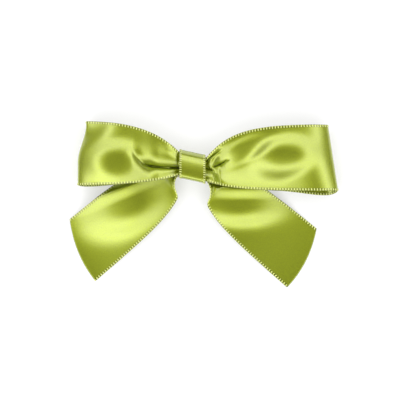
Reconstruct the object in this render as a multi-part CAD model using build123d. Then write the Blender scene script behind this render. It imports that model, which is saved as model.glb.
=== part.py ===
from build123d import *
import os
import numpy as np

# A gift bow tied from one length of satin ribbon, lying on its back. The origin is under the
# middle of the knot: +X is towards the right loop, +Y towards the top of the loops and +Z is
# the front. Millimetres.

# Ribbon stock
ribbon_width = 22.0
ribbon_thickness = 0.3
band_width = 8.6
band_thickness = 0.35

# Knot: three layers of gathered ribbon, nested one behind the other. They stay tight for a
# little past each edge of the band, and the front one is squeezed thin along its own edges.
gather_height = 7.8
gather_depth = 2.8
hidden_gather_depth = 1.0
layer_pitch = 1.15
knot_slope = 0.22
knot_offset = 0.15
edge_thinning = 0.5
edge_thinning_power = 3
tight_margin = 0.4

# Band round the knot, lapped at the back
band_clearance = 0.5
band_radius = 2.3
band_lap = 4.4
lap_gap = 0.16
glue_length = 7.0

# Loops: how far each turn lies from the knot, how it leans, and how far the loop opens
left_reach = 36.8
right_reach = 46.8
left_lean = 7.0
right_lean = 8.9
left_rise = 4.7
right_rise = 3.05
left_spread = 10.7
right_spread = 8.5
turn_height = 6.6
turn_depth = 3.6
loop_spring = 1.0
loop_crest = 1.6
loop_arch = 1.1
arch_run = 16.0
deepest_fold = 3.64
loosening_start = 2.8
loosening_run = 5.0
left_back_lift = 2.5
right_back_lift = 0.2
left_back_droop = 0.0
right_back_droop = 1.5

# Shares of a loop's reach over which its front flattens, its back lifts and its back droops
flattening_share = 0.35
lifting_share = 0.25
drooping_share = 0.2

# Tails: each leaves the knot and settles on a straight line to its slanted cut
left_tail_length = 48.8
right_tail_length = 48.6
left_tail_angle = 40.3
right_tail_angle = 41.0
left_tail_start = 3.85
right_tail_start = 1.76
tail_bend = 1.5
tail_sway_run = 8.0
left_cut_slant = 17.4
right_cut_slant = 14.0
tail_low_spread = 8.0
tail_high_spread = 15.0
tail_turn_run = 9.0
tail_hump = 3.0
tail_hump_start = 3.0
tail_hump_run = 14.0
tail_hump_place = -0.4
tail_hump_width = 0.4
tail_flattening_share = 0.6
left_tail_lift = 0.6
right_tail_lift = 2.2

# Thread tied round the gathers, under the band
thread_diameter = 0.2
thread_turns = 3
thread_pitch = 0.5
thread_inset = 0.03

# Foam pad on the back of the knot, and the release liner over its glue
pad_length = 12.0
pad_height = 6.4
pad_thickness = 0.9
pad_corner = 1.2
liner_thickness = 0.12
liner_margin = 0.3
liner_tab = 4.0

# Folds of the gathered ribbon. Places run across it, -1 at its lower edge and +1 at its
# upper one. Each fold: place in the knot, place further out, strength, run before it fades.
# The two layers behind have the same folds, shallower, and lose them past the band.
fold_width = 0.28
fold_widening = 0.8
fold_drift_runs = 1.5
hidden_folds = ((-0.38, -0.38, 1.0, 2.0), (0.5, 0.5, 0.9, 2.0))
left_folds = ((-1.05, -1.05, 0.9, 4.0), (-0.38, -0.3, 1.0, 9.0), (0.5, 0.55, 0.9, 5.0))
right_folds = ((-1.05, -1.05, 0.9, 4.0), (-0.38, 0.2, 1.0, 8.0), (0.5, 0.6, 0.9, 4.0))

# Points that each surface is drawn through
across_points = 21
front_rows = 22
turn_rows = 9
back_rows = 16
tail_rows = 20
tail_row_crowding = 1.2
sheet_tolerance = 0.08

half_sheet = ribbon_thickness / 2
half_band = band_width / 2
tight_half_length = half_band + tight_margin
half_gather = gather_height / 2
stack_half_depth = (gather_depth + hidden_gather_depth) / 2 + layer_pitch + half_sheet
band_half_height = half_gather + band_clearance
band_half_depth = stack_half_depth + band_clearance
lap_step = band_thickness + lap_gap
pad_top = liner_thickness + pad_thickness
knot_height = pad_top + band_thickness + lap_step + band_half_depth


def smooth(t):
    """0 to 1 with level ends, for t from 0 to 1."""
    t = np.clip(t, 0, 1)
    return t * t * (3 - 2 * t)


def settle(start, end, distance, run):
    """Goes from start to end, most of the way within one run of the distance."""
    return end - (end - start) * np.exp(-np.maximum(distance, 0) / run)


def cross_section(v, beyond, folds, arch):
    """Shape of the ribbon from edge to edge: an arch to the front less each fold."""
    shape = arch * (1 - v**2)
    for near, far, strength, run in folds:
        place = near + (far - near) * smooth(beyond / (fold_drift_runs * run))
        width = fold_width * (1 + fold_widening * beyond / run)
        fade = strength * np.exp(-((beyond / run) ** 2))
        shape = shape - fade * np.exp(-(((v - place) / width) ** 2))
    return shape


def depth_for_width(chord, shape, v):
    """Depth that makes each cross-section as long as the ribbon is wide."""
    slope = np.gradient(shape, v[0], axis=1)
    low = np.zeros(len(chord))
    high = np.full(len(chord), ribbon_width)
    for _ in range(30):
        depth = (low + high) / 2
        pace = np.hypot(chord[:, None] / 2, depth[:, None] * slope)
        length = np.sum((pace[:, 1:] + pace[:, :-1]) / 2 * np.diff(v[0]), axis=1)
        low = np.where(length < ribbon_width, depth, low)
        high = np.where(length < ribbon_width, high, depth)
    return low


def knot_centre(side, distance):
    """Height in Y of the middle of the gathers, which slope across the knot."""
    return knot_offset - side * knot_slope * distance


def loosened(distance):
    """0 while the band holds the gathers tight, and 1 from half the band's width past that."""
    return smooth((distance - tight_half_length) / half_band)


def stacked(v, distance, height):
    """Height of the front layer, less towards the edges while the band squeezes them."""
    squeeze = 1 - edge_thinning * np.abs(v) ** edge_thinning_power * (1 - loosened(distance))
    return knot_height + squeeze * (height - knot_height)


def panel_outline(side, reach, lean, rise, spread, out, v):
    """X and Y of a flat-on loop panel, out being the distance of each section's middle."""
    free = np.maximum(out - tight_half_length, 0)
    chord = settle(gather_height, ribbon_width, free, spread)
    leaving = knot_centre(side, tight_half_length)
    centre = np.where(free > 0, settle(leaving, rise, free, spread), knot_centre(side, out))
    tilt = np.radians(lean) * (out / reach) ** 2
    x = side * (out - chord / 2 * v * np.sin(tilt))
    y = centre + chord / 2 * v * np.cos(tilt)
    return x, y, chord[:, 0]


def loop_sheet(side, reach, lean, rise, spread, folds, layer, back_lift, droop):
    """Middle surface of one loop: front of the knot, round the turn and to its back."""
    straight = reach - turn_depth
    v = np.linspace(-1, 1, across_points)[None, :]
    front_out = np.linspace(0, straight, front_rows, endpoint=False)[:, None]
    back_out = np.linspace(0, straight, back_rows, endpoint=False)[::-1, None]
    angle = np.radians(np.linspace(90, -90, turn_rows))[:, None]
    turn_out = straight + turn_depth * np.cos(angle)

    def sheet_part(out, height, drop):
        x, y, _ = panel_outline(side, reach, lean, rise, spread, out, v)
        return np.stack([x, y - drop + 0 * v, height], axis=-1)

    def full_depth(out, shape):
        """Depth that keeps the ribbon's width, up to the deepest that a fold goes."""
        chord = panel_outline(side, reach, lean, rise, spread, out, v)[2]
        depth = depth_for_width(chord, shape, v)[:, None]
        return deepest_fold * np.tanh(depth / deepest_fold)

    def flatness(out):
        return smooth((reach - out) / (flattening_share * reach))

    free = np.maximum(front_out - tight_half_length, 0)
    shape = cross_section(v, free, folds, loop_arch * smooth(free / arch_run))
    loose = smooth((front_out - loosening_start) / loosening_run)
    depth = gather_depth + (full_depth(front_out, shape) - gather_depth) * loose
    start = knot_height + stack_half_depth - half_sheet
    turn_top = half_sheet + turn_height
    crest = loop_crest * np.sin(np.pi * front_out / straight) ** 2
    sprung = start + loop_spring * loosened(front_out)
    level = sprung + (turn_top - sprung) * smooth(front_out / straight) + crest
    height = level + depth * flatness(front_out) * shape
    front = sheet_part(front_out, stacked(v, front_out, height), 0)

    up = np.maximum(np.sin(angle), 0)
    arch = loop_arch * (1 - v**2) + 0 * turn_out
    bulge = up * arch * full_depth(turn_out, arch) * flatness(turn_out)
    turn_level = half_sheet + turn_height / 2 * (1 + np.sin(angle))
    turn = sheet_part(turn_out, turn_level + bulge, droop / 2 * (1 - np.sin(angle)))

    back_rest = half_sheet + back_lift * smooth((straight - back_out) / (lifting_share * reach))
    back_level = hidden_level(layer, back_out, back_rest)
    back_shape = cross_section(v, np.maximum(back_out - tight_half_length, 0), hidden_folds, 0)
    sag = droop * np.exp(-(((straight - back_out) / (drooping_share * reach)) ** 2))
    back = sheet_part(back_out, back_level + hidden_gather_depth * back_shape, sag)
    return np.concatenate([front, turn, back])


def hidden_level(layer, distance, rest):
    """Level of a layer behind the front one, which goes to its rest past the band."""
    start = knot_height + stack_half_depth - half_sheet - gather_depth + (layer - 1) * layer_pitch
    return start + (rest - start) * loosened(distance)


def tail_sheet(side, length, angle, slant, line_start, layer, lift):
    """Middle surface of one tail, from the back of the knot to its slanted cut."""
    angle, slant = np.radians([angle, slant])
    v = np.linspace(-1, 1, across_points)[None, :]
    ends = length - v * ribbon_width / 2 * np.tan(slant)
    run = np.linspace(0, 1, tail_rows)[:, None] ** tail_row_crowding * ends
    free = np.maximum(run - tight_half_length, 0)

    leaving = (1, -side * knot_slope)
    heading = (np.cos(angle), -np.sin(angle))
    upright = (np.sin(angle), np.cos(angle))
    bend = tail_bend * (1 - np.exp(-free / tail_bend))
    middle = [
        (run - free) * leaving[i] + heading[i] * free + (leaving[i] - heading[i]) * bend
        for i in range(2)
    ]
    far = [tight_half_length * leaving[i] + (leaving[i] - heading[i]) * tail_bend for i in range(2)]
    sway = far[0] * upright[0] + (knot_offset + far[1] - line_start) * upright[1]
    swayed = sway * (1 - np.exp(-free / tail_sway_run))

    low_edge = -settle(half_gather, ribbon_width / 2, free, tail_low_spread)
    high_edge = settle(half_gather, ribbon_width / 2, free, tail_high_spread)
    turned = angle * smooth(free / tail_turn_run)
    across = low_edge + (high_edge - low_edge) * (1 + v) / 2 - swayed
    x = side * (middle[0] + across * np.sin(turned))
    y = knot_offset + middle[1] + across * np.cos(turned)

    flat = smooth((ends - run) / (tail_flattening_share * length))
    across_hump = np.exp(-(((v - tail_hump_place) / tail_hump_width) ** 2))
    hump = tail_hump * smooth((free - tail_hump_start) / tail_hump_run) * across_hump * flat
    level = hidden_level(layer, run, half_sheet + lift * flat)
    height = level + hidden_gather_depth * cross_section(v, free, hidden_folds, 0)
    return np.stack([x, y, height + hump], axis=-1)


def normals(sheet):
    """Unit normals of a grid of points; on the parting plane of the knot they stay in it."""
    normal = np.cross(np.gradient(sheet, axis=0), np.gradient(sheet, axis=1))
    normal[np.abs(sheet[..., 0]) < 1e-9, 0] = 0
    return normal / np.linalg.norm(normal, axis=-1, keepdims=True)


def face_through(points):
    rows = [[Vector(*point) for point in row] for row in points]
    return Face.make_surface_from_array_of_points(rows, tol=sheet_tolerance)


def thick_sheet(sheet):
    """Closed solid of the ribbon's thickness round its middle surface."""
    offset = half_sheet * normals(sheet)
    front = face_through(sheet + offset)
    back = face_through(sheet - offset)
    walls = [Face.make_surface_from_curves(a, b) for a, b in zip(front.edges(), back.edges())]
    return Solid(Shell([front, back, *walls]))


def make_left_loop():
    shape = (left_reach, left_lean, left_rise, left_spread, left_folds)
    return thick_sheet(loop_sheet(-1, *shape, 0, left_back_lift, left_back_droop))


def make_right_loop():
    shape = (right_reach, right_lean, right_rise, right_spread, right_folds)
    return thick_sheet(loop_sheet(1, *shape, -1, right_back_lift, right_back_droop))


def make_left_tail():
    cut = (left_tail_length, left_tail_angle, left_cut_slant)
    return thick_sheet(tail_sheet(-1, *cut, left_tail_start, -1, left_tail_lift))


def make_right_tail():
    cut = (right_tail_length, right_tail_angle, right_cut_slant)
    return thick_sheet(tail_sheet(1, *cut, right_tail_start, 0, right_tail_lift))


def band_line(offset):
    """Profile of the band at an offset from its inner face, from its inner end to its outer one."""
    side = band_half_height + offset
    top = knot_height + band_half_depth + offset
    bottom = knot_height - band_half_depth - offset
    lapped = bottom - lap_step
    radius = band_radius + offset
    bow = np.sqrt(0.5)

    def corner(y, z, start, end):
        """Quarter turn about y, z, from one direction to the other."""
        middle = [(start[0] + end[0]) * bow, (start[1] + end[1]) * bow]
        return ThreePointArc(*[(y + radius * a, z + radius * b) for a, b in (start, middle, end)])

    corners = [
        corner(radius - side, bottom + radius, (0, -1), (-1, 0)),
        corner(radius - side, top - radius, (-1, 0), (0, 1)),
        corner(side - radius, top - radius, (0, 1), (1, 0)),
        corner(side - radius, lapped + radius, (1, 0), (0, -1)),
    ]
    edges = [Line((band_lap / 2, bottom), corners[0] @ 0)]
    for first, second in zip(corners, corners[1:]):
        edges += [first, Line(first @ 1, second @ 0)]
    edges += [corners[-1], Line(corners[-1] @ 1, (-band_lap / 2, lapped))]
    return edges


def across_knot(profile, width):
    """Profile in Y and Z drawn out along the slope of the knot, centred on it."""
    along = Vector(1, -knot_slope, 0)
    placed = Plane.YZ * profile
    placed = Pos(-width / 2, knot_offset + knot_slope * width / 2, 0) * placed
    return extrude(placed, amount=width * along.length, dir=along)


def make_centre_band():
    inner, outer = band_line(0), band_line(band_thickness)
    ends = [Line(inner[0] @ 0, outer[0] @ 0), Line(inner[-1] @ 1, outer[-1] @ 1)]
    return across_knot(make_face(Wire([*inner, *outer, *ends])), band_width)


def make_glue_bead():
    """Film of glue between the two ends of the band, at the back."""
    inner_end = knot_height - band_half_depth - band_thickness
    ends = (-band_lap / 2, min(band_lap / 2, band_half_height - band_radius))
    film = Pos((ends[0] + ends[1]) / 2, inner_end - lap_gap / 2) * Rectangle(ends[1] - ends[0], lap_gap)
    return across_knot(film, glue_length)


def make_binding_thread():
    """Turns of thread round the gathers, each its own ring close inside the band."""
    inset = thread_inset + thread_diameter / 2
    size = (2 * (band_half_height - inset), 2 * (band_half_depth - inset))
    loop = RectangleRounded(*size, band_radius - inset)
    rings = []
    for turn in range(thread_turns):
        x = (turn - (thread_turns - 1) / 2) * thread_pitch
        place = Pos(x, knot_centre(1, x), knot_height)
        path = (place * (Plane.YZ * loop)).face().outer_wire()
        section = Plane(origin=path @ 0, z_dir=path % 0) * RegularPolygon(thread_diameter / 2, 4)
        rings.append(sweep(section, path))
    return Compound(rings)


def make_adhesive_pad():
    outline = Pos(0, knot_offset) * RectangleRounded(pad_length, pad_height, pad_corner)
    return Pos(0, 0, liner_thickness) * extrude(outline, pad_thickness)


def make_release_liner():
    """Paper over the glue, with a finger tab past the right end of the pad."""
    length = pad_length + 2 * liner_margin + liner_tab
    height = pad_height + 2 * liner_margin
    outline = Pos(liner_tab / 2, knot_offset) * RectangleRounded(length, height, pad_corner)
    return extrude(outline, liner_thickness)


makers = {
    "left_loop": make_left_loop,
    "right_loop": make_right_loop,
    "left_tail": make_left_tail,
    "right_tail": make_right_tail,
    "centre_band": make_centre_band,
    "glue_bead": make_glue_bead,
    "binding_thread": make_binding_thread,
    "adhesive_pad": make_adhesive_pad,
    "release_liner": make_release_liner,
}

os.makedirs("parts", exist_ok=True)
for node, make in makers.items():
    export_step(make(), f"parts/{node}.step")
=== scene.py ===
"""A satin gift bow: four runs of one ribbon, gathered under a narrow band, over a foam pad."""

import math
from typing import NamedTuple

import bpy
import numpy as np
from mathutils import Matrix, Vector


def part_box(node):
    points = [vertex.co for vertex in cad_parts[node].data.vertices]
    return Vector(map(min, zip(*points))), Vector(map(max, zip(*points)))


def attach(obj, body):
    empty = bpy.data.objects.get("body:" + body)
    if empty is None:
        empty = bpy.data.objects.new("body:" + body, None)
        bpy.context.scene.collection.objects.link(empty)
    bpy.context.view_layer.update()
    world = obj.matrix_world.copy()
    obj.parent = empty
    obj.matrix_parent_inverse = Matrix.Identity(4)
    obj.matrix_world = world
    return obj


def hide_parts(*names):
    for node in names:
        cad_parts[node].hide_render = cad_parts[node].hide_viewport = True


bl_info = {
    "name": "Satin Gift Bow",
    "version": (1, 0, 0),
    "blender": (4, 5, 0),
    "location": "View3D > Sidebar > Gift Bow",
    "description": "Makes a pre-tied satin gift bow round its construction model",
    "category": "Add Mesh",
}

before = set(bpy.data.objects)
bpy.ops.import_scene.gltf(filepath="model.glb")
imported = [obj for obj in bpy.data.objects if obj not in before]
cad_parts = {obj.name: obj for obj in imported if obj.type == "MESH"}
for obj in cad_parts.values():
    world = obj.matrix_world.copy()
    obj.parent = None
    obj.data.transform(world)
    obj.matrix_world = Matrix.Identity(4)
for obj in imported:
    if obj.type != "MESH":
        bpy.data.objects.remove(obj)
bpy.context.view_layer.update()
MM = 0.001
BODY = "bow"


def node_mm(node):
    """Lowest and highest corner of a construction node, in millimetres."""
    low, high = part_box(node)
    return np.array(low) / MM, np.array(high) / MM


def length_setting(name, description, default, least):
    """A length that a user can change, in millimetres."""
    return bpy.props.FloatProperty(name=name, description=f"{description}, mm", default=default, min=least)


def colour_setting(name, description, default):
    """A colour that a user can change."""
    return bpy.props.FloatVectorProperty(
        name=name, description=description, default=default, subtype="COLOR", size=3, min=0.0, max=1.0
    )


class BowRibbonSettings(bpy.types.PropertyGroup):
    """The main ribbon and how it is gathered"""

    width: length_setting("Ribbon width", "Flat width of the main ribbon", 22.0, 5.0)
    thickness: length_setting("Thickness", "Thickness of the ribbon", 0.26, 0.05)
    gather: length_setting("Gather height", "Height of the gathers in the knot", 7.8, 2.0)
    gather_depth: length_setting("Gather depth", "Depth of the folds in the knot", 2.8, 0.5)
    slope: bpy.props.FloatProperty(
        name="Knot slope", description="Fall of the gathers towards the right", default=0.22
    )
    stitch_pitch: length_setting("Selvedge pitch", "Distance between selvedge threads", 0.95, 0.2)
    colour: colour_setting("Satin colour", "Colour of the main ribbon", (0.34, 0.405, 0.005))


class BowBandSettings(bpy.types.PropertyGroup):
    """The band round the knot"""

    width: length_setting("Band width", "Flat width of the band", 8.6, 3.0)
    thickness: length_setting("Thickness", "Thickness of the band", 0.3, 0.05)
    stitch_pitch: length_setting("Selvedge pitch", "Distance between selvedge threads", 0.75, 0.2)
    colour: colour_setting("Band colour", "Colour of the band", (0.34, 0.40, 0.005))


class BowBackSettings(bpy.types.PropertyGroup):
    """The thread, the pad, the liner and the glue"""

    thread: length_setting("Thread diameter", "Thickness of the binding thread", 0.2, 0.05)
    foam: colour_setting("Foam colour", "Colour of the pad", (0.86, 0.86, 0.83))
    paper: colour_setting("Liner colour", "Colour of the release liner", (0.86, 0.8, 0.62))
    glue: colour_setting("Glue colour", "Colour of the set glue", (0.8, 0.76, 0.62))


class BowStageSettings(bpy.types.PropertyGroup):
    """The lamps and the camera"""

    view_width: length_setting("View width", "Width seen round the bow", 133.3, 50.0)
    lens: length_setting("Focal length", "Focal length of the camera", 100.0, 20.0)
    key_power: bpy.props.FloatProperty(
        name="Key lamp", description="Power of the soft lamp at the lower left, W", default=0.15, min=0.0
    )
    world: bpy.props.FloatProperty(
        name="World light",
        description="Strength of the light from all round, which is brightest half way up",
        default=1.3,
        min=0.0,
    )


# ---------------------------------------------------------------- surfaces


def smooth(t):
    """0 to 1 with level ends: 3 t squared less 2 t cubed, for t from 0 to 1."""
    t = np.clip(t, 0, 1)
    return t * t * (3 - 2 * t)


def settle(start, end, distance, run):
    """From start to end, the rest of the way shrinking by e over each run of the distance."""
    return end - (end - start) * np.exp(-np.maximum(distance, 0) / run)


def bell(t):
    """1 at zero, falling away to either side as a Gaussian."""
    return np.exp(-(t**2))


def crease(t, tip):
    """1 at zero, falling away by e over each unit to either side, with a round tip of the given width."""
    return np.exp(tip - np.sqrt(t**2 + tip**2))


def through(stops, values, at):
    """Smooth curve through a few stops: the polynomial of the least degree that meets them all."""
    return np.polyval(np.polyfit(stops, values, len(stops) - 1), np.clip(at, stops[0], stops[-1]))


def grid_normals(sheet):
    """Unit normals of a grid: the cross product of its two directions."""
    normal = np.cross(np.gradient(sheet, axis=0), np.gradient(sheet, axis=1))
    return normal / np.maximum(np.linalg.norm(normal, axis=-1, keepdims=True), 1e-12)


def arc_lengths(sheet, axis):
    """Distance along one direction of a grid, from its first line."""
    steps = np.linalg.norm(np.diff(sheet, axis=axis), axis=-1)
    zero = np.zeros_like(np.take(steps, [0], axis=axis))
    return np.cumsum(np.concatenate([zero, steps], axis=axis), axis=axis)


# ---------------------------------------------------------------- meshes


def new_object(name, mesh, material):
    """A finished piece that rides on the bow, smooth-shaded and in one material."""
    obj = bpy.data.objects.new(name, mesh)
    bpy.context.collection.objects.link(obj)
    mesh.materials.append(material)
    mesh.shade_smooth()
    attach(obj, BODY)
    return obj


def mesh_mm(name, points, faces):
    """A mesh from points in millimetres."""
    mesh = bpy.data.meshes.new(name)
    mesh.from_pydata(points * MM, [], faces)
    mesh.update()
    return mesh


def shell_mesh(name, sheet, thickness, width):
    """Closed shell round a grid of points: the grid moved half the thickness each way, walled at its edges.

    Its map holds, in mm, the distance along the ribbon and the share of its flat width across.
    """
    rows, cols = sheet.shape[:2]
    offset = grid_normals(sheet) * thickness / 2
    points = np.concatenate([(sheet + offset).reshape(-1, 3), (sheet - offset).reshape(-1, 3)])
    index = np.arange(rows * cols).reshape(rows, cols)
    corners = [index[:-1, :-1], index[1:, :-1], index[1:, 1:], index[:-1, 1:]]
    front = np.stack(corners, axis=-1).reshape(-1, 4)
    back = front[:, ::-1] + rows * cols
    rim = np.concatenate([index[0, :], index[1:, -1], index[-1, -2::-1], index[-2:0:-1, 0]])
    after = np.roll(rim, -1)
    wall = np.stack([rim, after, after + rows * cols, rim + rows * cols], axis=-1)
    mesh = mesh_mm(name, points, np.concatenate([front, back, wall]).tolist())
    along = arc_lengths(sheet, 0).mean(axis=1)[:, None] + np.zeros((rows, cols))
    across = arc_lengths(sheet, 1)
    across = across / across[:, -1:] * width
    place = np.stack([along, across], axis=-1).reshape(-1, 2)
    place = np.concatenate([place, place])
    uv = mesh.uv_layers.new(name="Weave")
    loops = np.empty(len(mesh.loops), dtype=np.int64)
    mesh.loops.foreach_get("vertex_index", loops)
    uv.data.foreach_set("uv", place[loops].astype(np.float32).ravel())
    return mesh


def tube_mesh(name, rings):
    """Closed tube through a stack of rings of points, with a flat face over each end."""
    rows, count = rings.shape[:2]
    index = np.arange(rows * count).reshape(rows, count)
    after = np.roll(index, -1, axis=1)
    faces = np.stack([index[:-1], after[:-1], after[1:], index[1:]], axis=-1).reshape(-1, 4).tolist()
    return mesh_mm(name, rings.reshape(-1, 3), [*faces, index[0, ::-1].tolist(), index[-1].tolist()])


class Selvedge(NamedTuple):
    """The thick threads laid over a ribbon's edges, in mm."""

    painted_shade_width: float  # width of the border of painted shade under them, dark between the threads
    inset: float  # from the edge to their middle
    reach: float  # half their length across the ribbon
    proud: float  # half their height, less half the ribbon's thickness


THREAD_SHARE = 0.3  # half of a selvedge thread's breadth, as a share of the pitch
THREAD_SIDES = 8
THREAD_RINGS = (-70, -30, 30, 70)  # degrees from the middle towards each end


def thread_blank():
    """Points, belts and caps of one thread: rings on a unit ball, closed by a point at each end."""
    turn = np.linspace(0, 2 * np.pi, THREAD_SIDES, endpoint=False)
    rings = np.radians(THREAD_RINGS)
    ends = np.repeat(np.sin(rings)[:, None], THREAD_SIDES, axis=1)
    beside = np.outer(np.cos(rings), np.cos(turn))
    above = np.outer(np.cos(rings), np.sin(turn))
    around = np.stack([beside, ends, above], axis=-1)
    points = np.concatenate([around.reshape(-1, 3), [[0, -1, 0], [0, 1, 0]]])
    ring = np.arange(THREAD_SIDES)
    after = np.roll(ring, -1)
    last = THREAD_SIDES * (len(rings) - 1)
    poles = len(points) - 2, len(points) - 1
    belts = [
        np.stack([ring, after, after + THREAD_SIDES, ring + THREAD_SIDES], axis=-1) + start
        for start in range(0, last, THREAD_SIDES)
    ]
    caps = [
        np.stack([after, ring, np.full(THREAD_SIDES, poles[0])], axis=-1),
        np.stack([ring + last, after + last, np.full(THREAD_SIDES, poles[1])], axis=-1),
    ]
    return points, np.concatenate(belts), np.concatenate(caps)


def spaced(values, length, stops):
    """A row of vectors read off at the given distances along a line."""
    return np.stack([np.interp(stops, length, values[:, k]) for k in range(3)], axis=-1)


def stitch_mesh(name, sheet, pitch, thickness, selvedge):
    """Rounded threads laid across both long edges of a sheet, one each pitch along it."""
    normal = grid_normals(sheet)
    unit, belts, caps = thread_blank()
    height = thickness / 2 + selvedge.proud
    points, count = [], 0
    for edge, inner in ((0, 1), (-1, -2)):
        line = sheet[:, edge]
        length = arc_lengths(line, 0)
        stops = np.arange(pitch / 2, length[-1], pitch)
        spot = spaced(line, length, stops)
        up = spaced(normal[:, edge], length, stops)
        out = spaced(line - sheet[:, inner], length, stops)
        out /= np.linalg.norm(out, axis=-1, keepdims=True)
        side = np.cross(out, up)
        centre = spot - out * selvedge.inset
        stitched = (
            centre[:, None]
            + unit[None, :, 0, None] * side[:, None] * pitch * THREAD_SHARE
            + unit[None, :, 1, None] * out[:, None] * selvedge.reach
            + unit[None, :, 2, None] * up[:, None] * height
        )
        points.append(stitched.reshape(-1, 3))
        count += len(stops)
    starts = np.arange(count)[:, None, None] * len(unit)
    faces = (belts[None] + starts).reshape(-1, 4).tolist() + (caps[None] + starts).reshape(-1, 3).tolist()
    return mesh_mm(name, np.concatenate(points), faces)


# ---------------------------------------------------------------- materials


def shader_of(name):
    """A material cleared to one surface shader."""
    material = bpy.data.materials.get(name) or bpy.data.materials.new(name)
    material.use_nodes = True
    tree = material.node_tree
    tree.nodes.clear()
    output = tree.nodes.new("ShaderNodeOutputMaterial")
    shader = tree.nodes.new("ShaderNodeBsdfPrincipled")
    tree.links.new(shader.outputs[0], output.inputs[0])
    return material, tree, shader


TONE_LOW, TONE_HIGH, TONE_OUT = 6, 7, 2  # sockets of a colour mix


def toned(colour, share):
    """The colour made darker or lighter, with its alpha."""
    return (*[min(1, c * share) for c in colour], 1)


def two_tones(tree, factor, low, high=None):
    """A colour that goes from one tone to another by a factor; a tone left out is linked later."""
    mix = tree.nodes.new("ShaderNodeMix")
    mix.data_type = "RGBA"
    tree.links.new(factor, mix.inputs[0])
    mix.inputs[TONE_LOW].default_value = low
    if high:
        mix.inputs[TONE_HIGH].default_value = high
    return mix


def noise(tree, place, scale):
    """Fine mottling over a set of coordinates."""
    texture = tree.nodes.new("ShaderNodeTexNoise")
    texture.inputs["Scale"].default_value = scale
    tree.links.new(place, texture.inputs["Vector"])
    return texture.outputs["Fac"]


def math_node(tree, operation, value, other):
    """One sum on a value; the other operand is a number or a link."""
    step = tree.nodes.new("ShaderNodeMath")
    step.operation = operation
    tree.links.new(value, step.inputs[0])
    if isinstance(other, (int, float)):
        step.inputs[1].default_value = other
    else:
        tree.links.new(other, step.inputs[1])
    return step.outputs[0]


def raised(tree, shader, height, strength, distance):
    """Small relief on a shader, in metres."""
    bump = tree.nodes.new("ShaderNodeBump")
    bump.inputs["Strength"].default_value = strength
    bump.inputs["Distance"].default_value = distance
    tree.links.new(height, bump.inputs["Height"])
    tree.links.new(bump.outputs[0], shader.inputs["Normal"])


def satin(name, colour, width, painted_shade_width):
    """Glossy woven satin: slanting ribs over soft colour changes, with a border of painted shade at each
    selvedge that shows between its threads.
    """
    material, tree, shader = shader_of(name)
    place = tree.nodes.new("ShaderNodeUVMap")
    place.uv_map = "Weave"
    ribs = tree.nodes.new("ShaderNodeTexWave")
    ribs.wave_type, ribs.bands_direction = "BANDS", "DIAGONAL"
    ribs.inputs["Scale"].default_value = 1.1
    ribs.inputs["Distortion"].default_value = 0.6
    ribs.inputs["Detail"].default_value = 2
    tree.links.new(place.outputs[0], ribs.inputs["Vector"])
    slub = noise(tree, place.outputs[0], 2.2)
    mottled = two_tones(tree, slub, toned(colour, 0.75), toned(colour, 1.25))
    axes = tree.nodes.new("ShaderNodeSeparateXYZ")
    tree.links.new(place.outputs[0], axes.inputs[0])
    # Painted shade: near each edge the colour falls to six tenths of itself, standing for the shade between
    # the selvedge threads.
    inward = math_node(tree, "PINGPONG", axes.outputs["Y"], width / 2)
    edge = tree.nodes.new("ShaderNodeMapRange")
    edge.inputs["From Min"].default_value = painted_shade_width * 0.8
    edge.inputs["From Max"].default_value = painted_shade_width
    tree.links.new(inward, edge.inputs["Value"])
    edge_shaded = two_tones(tree, edge.outputs["Result"], toned(colour, 0.6))
    tree.links.new(mottled.outputs[TONE_OUT], edge_shaded.inputs[TONE_HIGH])
    tree.links.new(edge_shaded.outputs[TONE_OUT], shader.inputs["Base Color"])
    weave = math_node(tree, "ADD", ribs.outputs["Fac"], slub)
    raised(tree, shader, weave, 0.3, 0.00006)
    shader.inputs["Metallic"].default_value = 0.85
    shader.inputs["Roughness"].default_value = 0.34
    shader.inputs["Sheen Weight"].default_value = 0.04
    shader.inputs["Sheen Roughness"].default_value = 0.4
    shader.inputs["Anisotropic"].default_value = 0.3
    shader.inputs["Coat Weight"].default_value = 1.0
    shader.inputs["Coat IOR"].default_value = 1.75
    shader.inputs["Coat Roughness"].default_value = 0.19
    return material


def pale(colour):
    """The lighter tone of the selvedge's thread: three parts of the colour to seven of pale yellow."""
    return tuple(0.3 * c + 0.7 * light for c, light in zip(colour, (0.85, 0.9, 0.3)))


def thread_finish(name, colour):
    """Twisted yarn: a fine mottling of the colour, hardly glossy."""
    material, tree, shader = shader_of(name)
    place = tree.nodes.new("ShaderNodeTexCoord")
    twist = noise(tree, place.outputs["Object"], 4000)
    mottled = two_tones(tree, twist, toned(colour, 0.8), toned(colour, 1.25))
    tree.links.new(mottled.outputs[TONE_OUT], shader.inputs["Base Color"])
    shader.inputs["Roughness"].default_value = 0.5
    shader.inputs["Sheen Weight"].default_value = 0.2
    return material


def speckled(name, colour, scale, strength, roughness):
    """One colour broken by a fine grain in tone and height."""
    material, tree, shader = shader_of(name)
    place = tree.nodes.new("ShaderNodeTexCoord")
    grain = noise(tree, place.outputs["Object"], scale)
    mottled = two_tones(tree, grain, toned(colour, 0.9), toned(colour, 1))
    tree.links.new(mottled.outputs[TONE_OUT], shader.inputs["Base Color"])
    raised(tree, shader, grain, strength, 0.0001)
    shader.inputs["Roughness"].default_value = roughness
    return material


# ---------------------------------------------------------------- the ribbon's four runs, in mm

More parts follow.
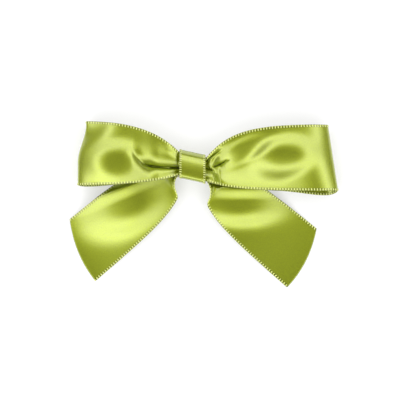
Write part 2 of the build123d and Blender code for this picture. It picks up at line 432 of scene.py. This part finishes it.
BAND_LOW, BAND_HIGH = node_mm("centre_band")
HALF_BAND = (BAND_HIGH[0] - BAND_LOW[0]) / 2
BAND_LAP = 0.51  # the band's end rises by this much over its start
KNOT_Y = 0.15  # middle of the gathers
KNOT_Z = (BAND_LOW[2] + BAND_HIGH[2]) / 2 + 0.25  # above the band's middle, for its lap is below
FRONT_RISE = 3.05  # of the front panel above the gathers' middle
LAYER = 1.15  # from one panel under the band to the next
TIGHT = HALF_BAND + 0.4  # the gathers are bound out to here
TURN_DEPTH = 3.6  # of a loop's turn, and its height
TURN_HEIGHT = 6.6
ACROSS = 110  # points across the ribbon
GATHER_PLACES = (-0.38, 0.5)  # of a hidden panel's two waves, -1 to 1 across it, and their width
GATHER_WIDTH = 0.3
FOLD_GROWTH = 3.0  # run over which a fold grows from nothing
FOLD_WIDENING = 0.4  # share by which it is wider where it has faded
SLIT_REACH = 0.3  # run of a slit's walls, and the roundness of its bottom
SLIT_GROWTH = 2.0  # runs over which a slit comes and goes
SLIT_FADE = 4.0


class Fold(NamedTuple):
    """One fold of a front panel, in mm: a valley with a slit at its bottom."""

    stops: tuple  # distances from the knot along its path
    places: tuple  # its places there across the ribbon, -1 to 1 from edge to edge
    depth: float
    reach: float  # run of the valley's walls to each side
    tip: float = 0.3  # roundness of its bottom
    start: float = -9.0  # where it has grown half way from nothing
    hold: float = 6.0  # how far it keeps its depth
    run: float = 5.0  # run of its fading after that
    slit: float = 0.0  # depth of the slit
    slit_start: float = -9.0
    slit_end: float = 0.0


class Swelling(NamedTuple):
    """A dome on a panel, or a dent where its height is negative, in mm."""

    x: float  # distance out from the knot
    y: float
    height: float
    long: float  # half its length
    wide: float  # half its width
    turn: float = 0.0  # turned anticlockwise by this angle, in degrees


class Loop(NamedTuple):
    """One loop of the bow, in mm."""

    side: int  # -1 on the left, 1 on the right
    flat: float  # its ribbon's length, pressed flat
    reach: float  # from the knot to the turn
    lean: tuple  # how far the low and the high end of the turn fall short of that
    rise: float  # its middle line's height beside the knot, far out
    spread: float  # run over which the gathers open out
    crest_at: float  # where the front is highest, and how high
    crest: float
    slope: float  # fall to both edges
    end_slope: float  # slope at the turn, and the power it comes with
    end_power: float
    folds: tuple
    swellings: tuple
    layer: int  # place of the back panel in the knot
    back_lift: float  # how far the back panel stands off the floor
    droop: float  # how far the turn's lower end shows below the front


class Tail(NamedTuple):
    """One tail of the bow, in mm and degrees."""

    side: int
    flat: float  # its ribbon's length, pressed flat
    length: float  # of its middle line
    angle: float  # downwards from level
    slant: float  # of its cut
    line_start: float  # where its middle line would cross the knot's upright
    layer: int
    lift: float  # how far it stands off the floor near its middle
    shelf: Swelling  # the level step below the loop, turned downwards
    rim: float  # run of the rise from that step to the loop


LEFT_FOLDS = (
    Fold((5, 12), (-1.1, -1.1), 2.2, 1.8, 0.5, hold=5.0, run=6.0),
    Fold((5, 13, 17), (-0.39, -0.38, -0.3), 2.1, 2.3, 0.1, hold=11.0, run=4.0, slit=1.7, slit_end=15.5),
    Fold((13, 16.5, 20), (-0.38, -0.24, 0.12), 1.4, 1.3, 0.5, start=12.5, hold=16.5, run=3.2),
    Fold((5, 8, 13), (0.66, 0.56, 0.45), 0.9, 1.5, 0.6, hold=6.5),
)
LEFT_LOOP = Loop(
    side=-1,
    flat=78.0,
    reach=38.1,
    lean=(0.0, 2.7),
    rise=4.7,
    spread=10.7,
    crest_at=25.5,
    crest=10.6,
    slope=0.1,
    end_slope=0.95,
    end_power=3.3,
    folds=LEFT_FOLDS,
    swellings=(Swelling(24.8, 1.2, 1.4, 8.8, 6.6), Swelling(41.0, 17.0, -3.0, 12.0, 9.0)),
    layer=0,
    back_lift=5.4,
    droop=0.4,
)
RIGHT_FOLDS = (
    Fold((5, 30), (-1.1, -1.1), 3.2, 7.0, 0.5, start=8.0, hold=27.0, run=12.0),
    Fold(
        (4.7, 7, 11),
        (0.05, 0.0, 0.1),
        1.7,
        2.2,
        0.5,
        hold=8.0,
        run=4.0,
        slit=1.4,
        slit_start=6.0,
        slit_end=11.0,
    ),
    Fold((4.7, 6.8, 9.6, 13), (0.1, -0.28, -0.66, -0.8), 0.9, 1.6, 0.4, slit=1.0, slit_end=6.5),
    Fold((4.7, 9), (0.73, 0.68), 0.9, 1.2, 0.3, hold=6.5, run=3.0, slit=1.2, slit_end=8.5),
)
RIGHT_LOOP = Loop(
    side=1,
    flat=98.0,
    reach=46.8,
    lean=(1.7, 0.0),
    rise=3.05,
    spread=8.5,
    crest_at=31.0,
    crest=10.6,
    slope=0.11,
    end_slope=0.95,
    end_power=3.2,
    folds=RIGHT_FOLDS,
    swellings=(Swelling(30.2, 3.3, 1.6, 9.6, 6.0, 15.0), Swelling(16.6, 5.2, -0.9, 9.5, 3.7, 28.0)),
    layer=-1,
    back_lift=0.2,
    droop=1.5,
)
LEFT_TAIL = Tail(
    side=-1,
    flat=50.0,
    length=48.8,
    angle=40.3,
    slant=17.4,
    line_start=3.85,
    layer=-1,
    lift=2.3,
    shelf=Swelling(22.0, -12.8, 3.0, 15.0, 8.5, 22.0),
    rim=5.0,
)
RIGHT_TAIL = Tail(
    side=1,
    flat=50.0,
    length=48.6,
    angle=41.0,
    slant=14.0,
    line_start=1.76,
    layer=0,
    lift=1.4,
    shelf=Swelling(15.8, -12.9, 2.2, 14.0, 6.0),
    rim=4.6,
)


def fold_depths(out, v, half_chord, folds):
    """Depth below the panel: the sum of its folds, each a valley and a slit along the fold's path."""
    total = 0 * v + 0 * out
    for fold in folds:
        far = (v - through(fold.stops, fold.places, out)) * half_chord
        growing = smooth((out - fold.start) / FOLD_GROWTH + 0.5)
        fade = growing * bell(np.maximum(out - fold.hold, 0) / fold.run)
        grown = 1 + FOLD_WIDENING * smooth((out - fold.hold) / fold.run)
        ending = smooth((out - fold.slit_end) / SLIT_FADE + 0.5)
        cut = smooth((out - fold.slit_start) / SLIT_GROWTH) * (1 - ending)
        total = total + fold.depth * fade * crease(far / fold.reach / grown, fold.tip * grown)
        total = total + fold.slit * cut * crease(far / SLIT_REACH, SLIT_REACH)
    return total


def roof(v, tip):
    """Two even slopes from a rounded ridge: 0 at the middle and about -1 at each edge."""
    return tip - np.sqrt(v**2 + tip**2)


def gathers(v):
    """Two waves across a panel that runs under the band: a Gaussian round each."""
    return sum(bell((v - place) / GATHER_WIDTH) for place in GATHER_PLACES)


def hidden_height(ribbon, layer):
    """Height in the knot of a panel behind the front one, by its layer."""
    return KNOT_Z + FRONT_RISE - ribbon.gather_depth + (layer - 1) * LAYER


def panel_outline(ribbon, loop, out, v):
    """X and Y of a panel seen flat on, and half the length of the line across it.

    The line goes from edge to edge by v, from -1 to 1. Its middle follows the knot's slope and settles to
    its own height, its length grows to the ribbon's width, and both its ends lean back by the square of
    the distance out.
    """
    lean_from, lean_run = -0.3, 1.2  # of the high end, by v
    free = np.maximum(out - TIGHT, 0)
    chord = settle(ribbon.gather, ribbon.width, free, loop.spread)
    leaving = KNOT_Y - loop.side * ribbon.slope * TIGHT
    bound = KNOT_Y - loop.side * ribbon.slope * out
    centre = np.where(free > 0, settle(leaving, loop.rise, free, loop.spread), bound)
    low, high = loop.lean
    lean = high * smooth((v - lean_from) / lean_run) + low * v
    back = lean * np.minimum(out / loop.reach, 1) ** 2
    x = loop.side * (out - back)
    y = centre + chord / 2 * v
    return x, y, chord / 2


def turned(x, y, degrees):
    """The same place measured along axes turned anticlockwise by an angle."""
    cos, sin = math.cos(math.radians(degrees)), math.sin(math.radians(degrees))
    return x * cos + y * sin, y * cos - x * sin


def front_height(ribbon, loop, out, v, fall):
    """Height of a loop's front panel, where the fall is the share of it that is left towards the turn.

    It climbs from the knot to its crest and slopes away to both edges like a roof. Each swelling adds its
    height times e to the minus fourth power of the distance from its middle. The folds are cut below that.
    """
    ridge_tip, ridge_run = 0.3, 12.0
    turn_mid = ribbon.thickness / 2 + TURN_HEIGHT / 2
    start = KNOT_Z + FRONT_RISE
    _, y, half_chord = panel_outline(ribbon, loop, out, v)
    climb = start + (loop.crest - start) * smooth((out - HALF_BAND / 2) / (loop.crest_at - HALF_BAND / 2))
    height = turn_mid + (climb - turn_mid) * fall
    sloping = loop.slope * half_chord * smooth((out - HALF_BAND) / ridge_run)
    height = height + sloping * roof(v, ridge_tip) * fall**2
    for swelling in loop.swellings:
        along, over = turned(out - swelling.x, y - swelling.y, swelling.turn)
        away = (along / swelling.long) ** 2 + (over / swelling.wide) ** 2
        height = height + swelling.height * np.exp(-(away**2)) * fall
    return height - fold_depths(out, v, half_chord, loop.folds) * fall**2


def loop_surface(ribbon, loop):
    """One loop as a surface: front panel, round the turn, and back panel.

    The front falls to the turn by a power of the distance, with a short upright end, and is squeezed
    towards the knot's middle where the band binds its edges. The back half of the turn is a quarter of an
    ellipse. The back panel leaves its layer in the knot and levels off at its own height.
    """
    climb_rows, fall_rows, turn_rows, back_rows = 160, 90, 24, 80
    upright_power, upright_root = 60, 0.25
    edge_thinning, top_thinning = 0.5, 0.25
    lift_share, sag_share, gathered_run = 0.25, 0.2, 2.0
    half = ribbon.thickness / 2
    turn_mid = half + TURN_HEIGHT / 2
    v = np.linspace(-1, 1, ACROSS)[None, :]

    def panel(out, height, drop):
        x, y, _ = panel_outline(ribbon, loop, out, v)
        return np.stack([x, y - drop + 0 * v, height + 0 * v], axis=-1)

    u = np.sin(np.pi / 2 * (1 - (1 - np.linspace(0, 1, fall_rows)) ** 1.5))
    ending = loop.reach - loop.crest_at
    climbing = np.linspace(0, loop.crest_at, climb_rows, endpoint=False)
    out = np.concatenate([climbing, loop.crest_at + ending * u])[:, None]
    share = loop.end_slope * ending / loop.end_power / (loop.crest - turn_mid)
    falling = (1 - share * u**loop.end_power) * np.maximum(1 - u**upright_power, 0) ** upright_root
    fall = np.concatenate([np.ones(climb_rows), falling])[:, None]
    thinned = edge_thinning * np.abs(v) ** 3 + top_thinning * np.maximum(v, 0)
    squeeze = 1 - thinned * (1 - smooth((out - HALF_BAND) / HALF_BAND))
    height = front_height(ribbon, loop, out, v, fall)
    front = panel(out, KNOT_Z + squeeze * (height - KNOT_Z), 0)

    angle = np.radians(np.linspace(0, -90, turn_rows))[1:, None]
    straight = loop.reach - TURN_DEPTH
    turn_height = half + TURN_HEIGHT / 2 * (1 + np.sin(angle))
    turn = panel(straight + TURN_DEPTH * np.cos(angle), turn_height, loop.droop * -np.sin(angle))

    back_out = np.linspace(0, straight, back_rows, endpoint=False)[::-1, None]
    start = hidden_height(ribbon, loop.layer)
    rest = half + loop.back_lift * smooth((straight - back_out) / (lift_share * loop.reach))
    level = start + (rest - start) * smooth((back_out - TIGHT) / HALF_BAND)
    waves = gathers(v) * bell(np.maximum(back_out - TIGHT, 0) / gathered_run)
    sag = loop.droop * bell((straight - back_out) / (sag_share * loop.reach))
    back = panel(back_out, level - waves, sag)
    return np.concatenate([front, turn, back])


def tail_outline(ribbon, tail, run, v):
    """X and Y of a tail: a middle line with its edges spreading to either side.

    The middle bends from the knot's slope to a straight line and sways over to its own place. The lines
    across turn with it from upright, and the edges spread to the ribbon's width by e over their runs.
    """
    bend_run, sway_run, low_run, high_run, heel_run = 1.5, 8.0, 8.0, 15.0, 9.0
    side, angle = tail.side, math.radians(tail.angle)
    free = np.maximum(run - TIGHT, 0)
    leaving = (1, -side * ribbon.slope)
    heading = (math.cos(angle), -math.sin(angle))
    bend = bend_run * (1 - np.exp(-free / bend_run))
    turning = [leaving[i] - heading[i] for i in (0, 1)]
    middle = [(run - free) * leaving[i] + heading[i] * free + turning[i] * bend for i in (0, 1)]
    far = [TIGHT * leaving[i] + turning[i] * bend_run for i in (0, 1)]
    sway = far[0] * math.sin(angle) + (KNOT_Y + far[1] - tail.line_start) * math.cos(angle)
    low_edge = -settle(ribbon.gather / 2, ribbon.width / 2, free, low_run)
    high_edge = settle(ribbon.gather / 2, ribbon.width / 2, free, high_run)
    across = low_edge + (high_edge - low_edge) * (1 + v) / 2 - sway * (1 - np.exp(-free / sway_run))
    heel = angle * smooth(free / heel_run)
    return side * (middle[0] + across * np.sin(heel)), KNOT_Y + middle[1] + across * np.cos(heel)


def tail_surface(ribbon, tail):
    """One tail as a surface, from the back of the knot to its bowed cut.

    Below the loop it makes a level step, e to the minus third power of the distance below it, from which a
    rim rises to the loop. Near the knot its lower edge rolls up.
    """
    rows, row_crowding, cut_bow = 190, 1.2, 1.7
    rim_rise, rim_from, flank_run = 1.1, 1.5, 8.0
    fade_from, fade_run = 5.5, 5.0
    roll_rise, roll_at, roll_width, roll_out, roll_long = 0.5, -0.85, 0.35, 4.5, 4.0
    sink_run, gathered_run, lift_share = 7.0, 3.0, 0.6
    v = np.linspace(-1, 1, ACROSS)[None, :]
    slant = math.radians(tail.slant)
    ends = tail.length - v * ribbon.width / 2 * math.tan(slant) + cut_bow * (1 - v**2)
    run = np.linspace(0, 1, rows)[:, None] ** row_crowding * ends
    free = np.maximum(run - TIGHT, 0)
    x, y = tail_outline(ribbon, tail, run, v)

    shelf = tail.shelf
    along, over = turned(tail.side * x - shelf.x, y - shelf.y, -shelf.turn)
    away = (along / shelf.long) ** 2 + (np.minimum(over, 0) / shelf.wide) ** 2
    rim = rim_rise * smooth((over - rim_from) / tail.rim) * bell(along / shelf.long)
    step = shelf.height * np.exp(-(away**1.5)) + rim
    step = step * (1 - smooth((over - fade_from) / fade_run)) * smooth(free / flank_run)
    roll = roll_rise * bell((v - roll_at) / roll_width) * bell((free - roll_out) / roll_long)
    start = hidden_height(ribbon, tail.layer)
    rest = ribbon.thickness / 2 + tail.lift * smooth((ends - run) / (lift_share * tail.length))
    level = start + (rest - start) * smooth((run - TIGHT) / sink_run)
    height = level + step + roll - gathers(v) * bell(free / gathered_run)
    return np.stack([x, y, height], axis=-1)


RIBBON_SELVEDGE = Selvedge(painted_shade_width=0.95, inset=0.43, reach=0.47, proud=0.18)


def make_run(name, sheet):
    """A run of the ribbon with its selvedge threads."""
    ribbon = bpy.context.scene.bow_ribbon
    colour = tuple(ribbon.colour)
    cloth = f"{name}_satin"
    finish = satin("ribbon_satin", colour, ribbon.width, RIBBON_SELVEDGE.painted_shade_width)
    obj = new_object(cloth, shell_mesh(cloth, sheet, ribbon.thickness, ribbon.width), finish)
    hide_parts(name)
    stitches = f"{name}_selvedge"
    threads = stitch_mesh(stitches, sheet, ribbon.stitch_pitch, ribbon.thickness, RIBBON_SELVEDGE)
    selvedge = new_object(stitches, threads, thread_finish("selvedge_thread", pale(colour)))


class BOW_OT_loops(bpy.types.Operator):
    """Make the two loops"""

    bl_idname = "bow.loops"
    bl_label = "Loops"

    def execute(self, context):
        for name, loop in (("left_loop", LEFT_LOOP), ("right_loop", RIGHT_LOOP)):
            make_run(name, loop_surface(context.scene.bow_ribbon, loop))
        return {"FINISHED"}


class BOW_OT_tails(bpy.types.Operator):
    """Make the two tails"""

    bl_idname = "bow.tails"
    bl_label = "Tails"

    def execute(self, context):
        for name, tail in (("left_tail", LEFT_TAIL), ("right_tail", RIGHT_TAIL)):
            make_run(name, tail_surface(context.scene.bow_ribbon, tail))
        return {"FINISHED"}


# ---------------------------------------------------------------- the band and the back

BAND_SELVEDGE = Selvedge(painted_shade_width=0.7, inset=0.42, reach=0.46, proud=0.15)
SQUARENESS = 2 / 7  # power of the knot's superellipse
FRONT_SLOPE = 0.43  # fall of the band's front above the place where its slope sets in
SLOPE_FROM = 0.6
SLOPE_BEND = 0.3
ROUNDING = 0.3  # further fall of its upper edge, by the square of the distance
ROUND_FROM = 2.7


def knot_ring(theta, half_y, half_z, x):
    """A closed line round the knot: a superellipse whose front slopes and rounds off towards the top."""
    c, s = np.cos(theta), np.sin(theta)
    y = np.sign(c) * np.abs(c) ** SQUARENESS * half_y
    z = np.sign(s) * np.abs(s) ** SQUARENESS * half_z
    front = smooth(z / half_z)
    beyond = y - SLOPE_FROM
    z = z - FRONT_SLOPE * (np.sqrt(beyond**2 + SLOPE_BEND) + beyond) / 2 * front
    z = z - ROUNDING * np.maximum(y - ROUND_FROM, 0) ** 2 * front
    return KNOT_Y - bpy.context.scene.bow_ribbon.slope * x + y, z


def knot_size(ribbon, inset):
    """Half the height and depth of a line round the knot, and its middle's Z, that far inside the band."""
    half_y = (BAND_HIGH[1] - BAND_LOW[1]) / 2 - ribbon.slope * HALF_BAND - inset
    half_z = (BAND_HIGH[2] - BAND_LOW[2] - BAND_LAP) / 2 - inset
    return half_y, half_z, BAND_HIGH[2] - half_z - inset


def band_surface(band, ribbon):
    """The band as a surface: a little over once round the knot, rising over its own start at the back."""
    rows, cols = 220, 50
    turns, start_angle = 1.11, 0.55
    lap_from, lap_run = 0.78, 0.14
    around = np.linspace(0, 1, rows)[:, None]
    x = np.linspace(-HALF_BAND, HALF_BAND, cols)[None, :]
    theta = start_angle - np.pi / 2 - 2 * np.pi * around * turns
    half_y, half_z, mid_z = knot_size(ribbon, band.thickness / 2)
    lap = BAND_LAP * smooth((around - lap_from) / lap_run)
    y, z = knot_ring(theta, half_y, half_z + lap, x)
    return np.stack([x + 0 * y, y, mid_z + z + 0 * x], axis=-1)


def thread_mesh(name, band, ribbon, diameter):
    """The binding thread as a tube: a helix round the knot, a thread's width inside the band."""
    turns, pitch, rows_a_turn, sides = 3, 0.5, 96, 8
    around = np.linspace(0, turns, rows_a_turn * turns)
    x = (around / turns - 0.5) * turns * pitch
    half_y, half_z, mid_z = knot_size(ribbon, band.thickness + diameter)
    y, z = knot_ring(2 * np.pi * around - np.pi / 2, half_y, half_z, x)
    line = np.stack([x, y, mid_z + z], axis=-1)
    ahead = np.gradient(line, axis=0)
    ahead /= np.linalg.norm(ahead, axis=-1, keepdims=True)
    outward = np.cross(ahead, [1.0, 0.0, 0.0])
    outward /= np.linalg.norm(outward, axis=-1, keepdims=True)
    sideways = np.cross(ahead, outward)
    turn = np.linspace(0, 2 * np.pi, sides, endpoint=False)[None, :, None]
    spoke = np.cos(turn) * outward[:, None] + np.sin(turn) * sideways[:, None]
    return tube_mesh(name, line[:, None] + diameter / 2 * spoke)


def pad_mesh(name, low, high):
    """The foam pad: a rounded rectangle whose sides pull in a little between its faces, with soft edges.

    The outline is a cosine and a sine cut off by the straight sides, with a corner's radius added. Each
    face is closed by three smaller outlines.
    """
    corner, steepness = 1.2, 9
    waist, edge_radius, edge_power = 0.12, 0.1, 12
    closing = np.array([0.3, 0.7, 0.96])
    middle, half = (low + high) / 2, (high - low) / 2
    angle = np.linspace(0, 2 * np.pi, 160, endpoint=False)
    direction = np.stack([np.cos(angle), np.sin(angle)], axis=-1)
    outline = np.clip(direction * steepness, -1, 1) * (half[:2] - corner) + corner * direction
    side = np.linspace(-1, 1, 17)
    inset = waist * (1 - side**2) + edge_radius * np.abs(side) ** edge_power
    flat = np.ones_like(closing)
    levels = np.concatenate([-flat, side, flat])
    shrink = np.concatenate([closing, np.ones_like(side), closing[::-1]])
    inset = np.concatenate([edge_radius * flat, inset, edge_radius * flat])
    rings = outline[None] * shrink[:, None, None] - direction[None] * inset[:, None, None]
    tall = np.broadcast_to((levels * half[2])[:, None, None], (*rings.shape[:2], 1))
    return tube_mesh(name, np.concatenate([rings, tall], axis=-1) + middle)


class BOW_OT_band(bpy.types.Operator):
    """Make the band round the knot"""

    bl_idname = "bow.band"
    bl_label = "Band"

    def execute(self, context):
        band = context.scene.bow_band
        sheet = band_surface(band, context.scene.bow_ribbon)
        colour = tuple(band.colour)
        finish = satin("band_satin", colour, band.width, BAND_SELVEDGE.painted_shade_width)
        obj = new_object("band_satin", shell_mesh("band_satin", sheet, band.thickness, band.width), finish)
        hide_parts("centre_band")
        threads = stitch_mesh("band_selvedge", sheet, band.stitch_pitch, band.thickness, BAND_SELVEDGE)
        selvedge = new_object("band_selvedge", threads, thread_finish("band_thread", pale(colour)))
        return {"FINISHED"}


class BOW_OT_back(bpy.types.Operator):
    """Make the pad and the thread, and finish the liner and the glue"""

    bl_idname = "bow.back"
    bl_label = "Pad, Thread and Liner"

    def execute(self, context):
        back, ribbon = context.scene.bow_back, context.scene.bow_ribbon
        foam = speckled("foam", tuple(back.foam), scale=5000, strength=0.6, roughness=0.8)
        pad = new_object("foam_pad", pad_mesh("foam_pad", *node_mm("adhesive_pad")), foam)
        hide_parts("adhesive_pad")
        wound = thread_mesh("tied_thread", context.scene.bow_band, ribbon, back.thread)
        thread = new_object("tied_thread", wound, thread_finish("tied_thread", tuple(ribbon.colour)))
        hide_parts("binding_thread")
        paper = speckled("liner_paper", tuple(back.paper), scale=900, strength=0.1, roughness=0.35)
        glue = speckled("set_glue", tuple(back.glue), scale=500, strength=0.2, roughness=0.25)
        finishes = {"release_liner": paper, "glue_bead": glue}
        for node, material in finishes.items():
            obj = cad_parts[node]
            obj.data.materials.clear()
            obj.data.materials.append(material)
        return {"FINISHED"}


# ---------------------------------------------------------------- stage

SKY_STOPS = (  # sine of the height above level, and the brightness there
    (0.0, 0.06),
    (0.25, 0.08),
    (0.42, 0.25),
    (0.58, 1.0),
    (0.76, 1.0),
    (0.86, 0.4),
    (0.93, 0.1),
    (0.98, 0.05),
)
LAMP_PLACE, LAMP_AIM, LAMP_SIZE = (-0.2, -0.28, 0.33), (0, 0, 0.005), 0.35  # metres
FLOOR_SIZE, FLOOR_DROP = 4.0, 0.0002  # metres
FLOOR_GREY, FLOOR_GLOW = 0.5, 0.5
VIEW_CENTRE, FOCUS_HEIGHT = (2.5, -11.0), 5.0  # mm
SENSOR_WIDTH = 36.0


def soft_lamp(name, place, aim, size, energy):
    """A round lamp that faces the place it is aimed at."""
    lamp = bpy.data.lights.new(name, "AREA")
    lamp.shape, lamp.size, lamp.energy = "DISK", size, energy
    obj = bpy.data.objects.new(name, lamp)
    bpy.context.collection.objects.link(obj)
    obj.location = place
    obj.rotation_euler = (Vector(aim) - Vector(place)).to_track_quat("-Z", "Y").to_euler()


def sky_ring(world, strength):
    """Light from all round: dark straight above, where the camera is, and brightest about half way down."""
    world.use_nodes = True
    tree = world.node_tree
    background = tree.nodes["Background"]
    place = tree.nodes.new("ShaderNodeTexCoord")
    axes = tree.nodes.new("ShaderNodeSeparateXYZ")
    tree.links.new(place.outputs["Generated"], axes.inputs[0])
    ramp = tree.nodes.new("ShaderNodeValToRGB")
    ramp.color_ramp.interpolation = "B_SPLINE"
    elements = ramp.color_ramp.elements
    for number, (position, level) in enumerate(SKY_STOPS):
        element = elements[number] if number < 2 else elements.new(position)
        element.position = position
        element.color = (level, level, level, 1)
    tree.links.new(axes.outputs["Z"], ramp.inputs[0])
    light = math_node(tree, "MULTIPLY", ramp.outputs["Color"], 2 * strength)
    path = tree.nodes.new("ShaderNodeLightPath")
    seen = tree.nodes.new("ShaderNodeMix")
    tree.links.new(path.outputs["Is Camera Ray"], seen.inputs["Factor"])
    tree.links.new(light, seen.inputs["A"])
    seen.inputs["B"].default_value = 1.0
    tree.links.new(seen.outputs["Result"], background.inputs["Strength"])
    background.inputs["Color"].default_value = (1, 1, 1, 1)


def floor_paper(name, grey, glow):
    """White paper under the bow, lifted to plain white for the camera and for reflections."""
    material, tree, shader = shader_of(name)
    shader.inputs["Base Color"].default_value = (grey, grey, grey, 1)
    shader.inputs["Roughness"].default_value = 1.0
    shader.inputs["Specular IOR Level"].default_value = 0.0
    path = tree.nodes.new("ShaderNodeLightPath")
    seen = path.outputs["Is Camera Ray"]
    for kind in ("Is Glossy Ray", "Is Transmission Ray"):
        seen = math_node(tree, "MAXIMUM", seen, path.outputs[kind])
    shader.inputs["Emission Color"].default_value = (1, 1, 1, 1)
    tree.links.new(math_node(tree, "MULTIPLY", seen, glow), shader.inputs["Emission Strength"])
    return material


class BOW_OT_stage(bpy.types.Operator):
    """Set the floor, the lamps and the camera"""

    bl_idname = "bow.stage"
    bl_label = "Stage"

    def execute(self, context):
        scene = context.scene
        stage = scene.bow_stage
        bpy.ops.mesh.primitive_plane_add(size=FLOOR_SIZE, location=(0, 0, -FLOOR_DROP))
        floor = context.object
        floor.name = "floor"
        floor.data.materials.append(floor_paper("floor_paper", FLOOR_GREY, FLOOR_GLOW))
        scene.world = scene.world or bpy.data.worlds.new("Studio")
        sky_ring(scene.world, stage.world)
        soft_lamp("key_lamp", LAMP_PLACE, LAMP_AIM, LAMP_SIZE, stage.key_power)
        camera = bpy.data.objects.new("camera", bpy.data.cameras.new("camera"))
        context.collection.objects.link(camera)
        camera.data.lens = stage.lens
        camera.data.sensor_width = SENSOR_WIDTH
        camera.data.clip_start = 0.01
        distance = stage.view_width / SENSOR_WIDTH * stage.lens
        camera.location = (VIEW_CENTRE[0] * MM, VIEW_CENTRE[1] * MM, (FOCUS_HEIGHT + distance) * MM)
        camera.rotation_euler = (0, 0, 0)
        scene.camera = camera
        scene.view_settings.view_transform = "Standard"
        return {"FINISHED"}


class BOW_PT_panel(bpy.types.Panel):
    """Sizes, colours and makers of the gift bow"""

    bl_idname = "BOW_PT_panel"
    bl_label = "Gift Bow"
    bl_space_type = "VIEW_3D"
    bl_region_type = "UI"
    bl_category = "Gift Bow"

    def draw(self, context):
        for group in GROUPS:
            settings = getattr(context.scene, group)
            box = self.layout.box()
            for name in settings.__annotations__:
                box.prop(settings, name)
        for operator in MAKERS:
            self.layout.operator(operator.bl_idname)


MAKERS = (BOW_OT_stage, BOW_OT_loops, BOW_OT_tails, BOW_OT_band, BOW_OT_back)
GROUPS = {
    "bow_ribbon": BowRibbonSettings,
    "bow_band": BowBandSettings,
    "bow_back": BowBackSettings,
    "bow_stage": BowStageSettings,
}


def register():
    """Add the settings, makers and panel."""
    for cls in (*GROUPS.values(), *MAKERS, BOW_PT_panel):
        bpy.utils.register_class(cls)
    for name, group in GROUPS.items():
        setattr(bpy.types.Scene, name, bpy.props.PointerProperty(type=group))


def unregister():
    """Take them away again."""
    for name in GROUPS:
        delattr(bpy.types.Scene, name)
    for cls in reversed((*GROUPS.values(), *MAKERS, BOW_PT_panel)):
        bpy.utils.unregister_class(cls)


def main():
    """Make the whole bow on its stage."""
    register()
    bpy.ops.bow.stage()
    bpy.ops.bow.loops()
    bpy.ops.bow.tails()
    bpy.ops.bow.band()
    bpy.ops.bow.back()


if __name__ == "__main__":
    main()
